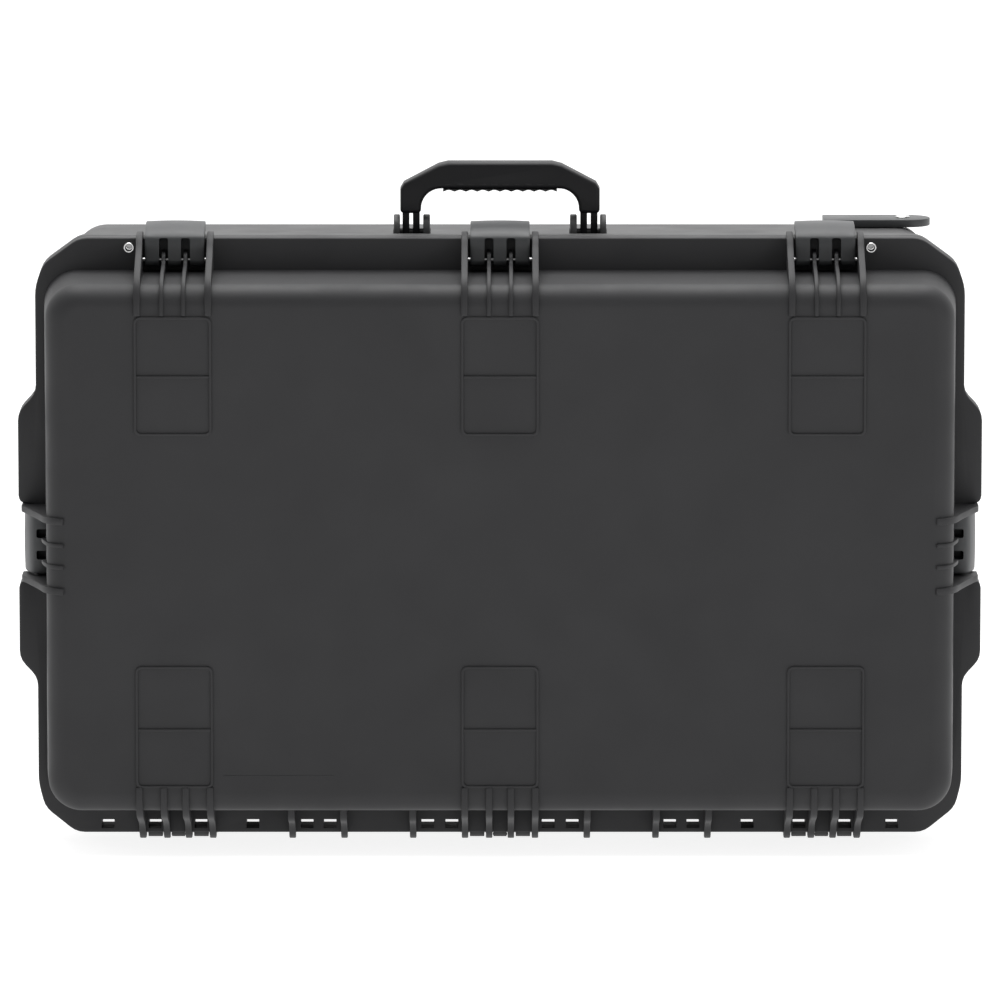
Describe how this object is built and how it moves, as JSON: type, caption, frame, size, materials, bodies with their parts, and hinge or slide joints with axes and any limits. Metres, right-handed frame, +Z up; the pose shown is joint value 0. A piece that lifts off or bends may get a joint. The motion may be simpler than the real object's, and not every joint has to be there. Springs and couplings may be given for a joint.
{
  "type": "wheeled protective tool case with tray",
  "caption": "Closed moulded protective case on its hinged edge, with ribbed lid, latches, fold-down carry handle, pull handle, wheels and an inner tray",
  "frame": {"origin": "bottom centre of the bounding box, on the surface that the closed case stands on", "axes": "+X right along the long edge, towards the pull handle; +Y from the lid into the base; +Z up"},
  "size_m": [0.795, 0.319, 0.559],
  "materials": {
    "case_plastic": "fine moulded grain, dark grey",
    "latch_plastic": "satin dark grey",
    "grip_rubber": "soft matte black",
    "steel": "bright",
    "aluminium": "satin",
    "seal_rubber": "matte black",
    "tray_plastic": "smooth grey",
    "tyre": "matte black"
  },
  "bodies": {
    "base": {"base_shell": "case_plastic", "hinge_pin_left": "steel", "hinge_pin_centre": "steel", "hinge_pin_right": "steel", "tray_ledge_lower": "case_plastic", "tray_ledge_upper": "case_plastic", "standing_foot_left": "grip_rubber", "standing_foot_right": "grip_rubber", "pull_guide_tube_lower": "aluminium", "pull_guide_tube_upper": "aluminium", "pull_handle_bracket": "case_plastic", "pull_ear_top": "latch_plastic", "pull_ear_bottom": "latch_plastic", "ear_rivet_top": "steel", "ear_rivet_bottom": "steel", "wheel_axle_lower": "steel", "wheel_axle_upper": "steel", "carry_handle_pin_left": "steel", "carry_handle_pin_right": "steel", "pressure_valve": "latch_plastic"},
    "lid": {"lid_shell": "case_plastic", "seal_ring": "seal_rubber", "latch_pin_left": "steel", "latch_pin_centre": "steel", "latch_pin_right": "steel", "latch_pin_side_left": "steel", "latch_pin_side_right": "steel", "padlock_bush_left": "steel", "padlock_bush_right": "steel"},
    "latch_left": {"latch_left": "latch_plastic"},
    "latch_centre": {"latch_centre": "latch_plastic"},
    "latch_right": {"latch_right": "latch_plastic"},
    "latch_side_left": {"latch_side_left": "latch_plastic"},
    "latch_side_right": {"latch_side_right": "latch_plastic"},
    "carry_handle": {"carry_handle": "case_plastic", "carry_handle_grip": "grip_rubber"},
    "pull_stage": {"pull_middle_tube_lower": "aluminium", "pull_middle_tube_upper": "aluminium"},
    "pull_handle": {"pull_inner_tube_lower": "aluminium", "pull_inner_tube_upper": "aluminium", "pull_grip": "grip_rubber"},
    "release_button": {"pull_release_button": "latch_plastic"},
    "wheel_lower": {"wheel_hub_lower": "latch_plastic", "wheel_tyre_lower": "tyre"},
    "wheel_upper": {"wheel_hub_upper": "latch_plastic", "wheel_tyre_upper": "tyre"},
    "tray": {"tray_shell": "tray_plastic", "tray_divider_left": "tray_plastic", "tray_divider_right": "tray_plastic", "tray_handle": "tray_plastic"}
  },
  "joints": [
    {"name": "lid_hinge", "type": "hinge", "parent": "base", "child": "lid", "pos_m": [0, -0.0665, 0.005], "axis": [1, 0, 0], "range_deg": [0, 100]},
    {"name": "latch_left_pivot", "type": "hinge", "parent": "lid", "child": "latch_left", "pos_m": [-0.267, -0.0875, 0.486], "axis": [1, 0, 0], "range_deg": [0, 75]},
    {"name": "latch_centre_pivot", "type": "hinge", "parent": "lid", "child": "latch_centre", "pos_m": [0, -0.0875, 0.486], "axis": [1, 0, 0], "range_deg": [0, 75]},
    {"name": "latch_right_pivot", "type": "hinge", "parent": "lid", "child": "latch_right", "pos_m": [0.267, -0.0875, 0.486], "axis": [1, 0, 0], "range_deg": [0, 75]},
    {"name": "latch_side_left_pivot", "type": "hinge", "parent": "lid", "child": "latch_side_left", "pos_m": [-0.3654, -0.0875, 0.25], "axis": [0, 0, 1], "range_deg": [0, 70]},
    {"name": "latch_side_right_pivot", "type": "hinge", "parent": "lid", "child": "latch_side_right", "pos_m": [0.3654, -0.0875, 0.25], "axis": [0, 0, -1], "range_deg": [0, 70]},
    {"name": "carry_handle_fold", "type": "hinge", "parent": "base", "child": "carry_handle", "pos_m": [0, -0.0215, 0.501], "axis": [1, 0, 0], "range_deg": [-85, 10]},
    {"name": "pull_stage_slide", "type": "slide", "parent": "base", "child": "pull_stage", "axis": [1, 0, 0], "range_m": [0, 0.26]},
    {"name": "pull_handle_slide", "type": "slide", "parent": "pull_stage", "child": "pull_handle", "axis": [1, 0, 0], "range_m": [0, 0.26]},
    {"name": "release_button_press", "type": "slide", "parent": "pull_handle", "child": "release_button", "axis": [-1, 0, 0], "range_m": [0, 0.0035], "stiffness_N_per_m": 900, "springref_m": -0.002},
    {"name": "wheel_lower_spin", "type": "hinge", "parent": "base", "child": "wheel_lower", "pos_m": [-0.326, 0.1215, 0.054], "axis": [0, 0, 1], "continuous": true},
    {"name": "wheel_upper_spin", "type": "hinge", "parent": "base", "child": "wheel_upper", "pos_m": [-0.326, 0.1215, 0.455], "axis": [0, 0, 1], "continuous": true},
    {"name": "tray_lift", "type": "slide", "parent": "base", "child": "tray", "axis": [0, -1, 0], "range_m": [0, 0.03]}
  ],
  "couplings": [
    {"joint": "pull_handle_slide", "follows": "pull_stage_slide", "ratio": 1}
  ]
}
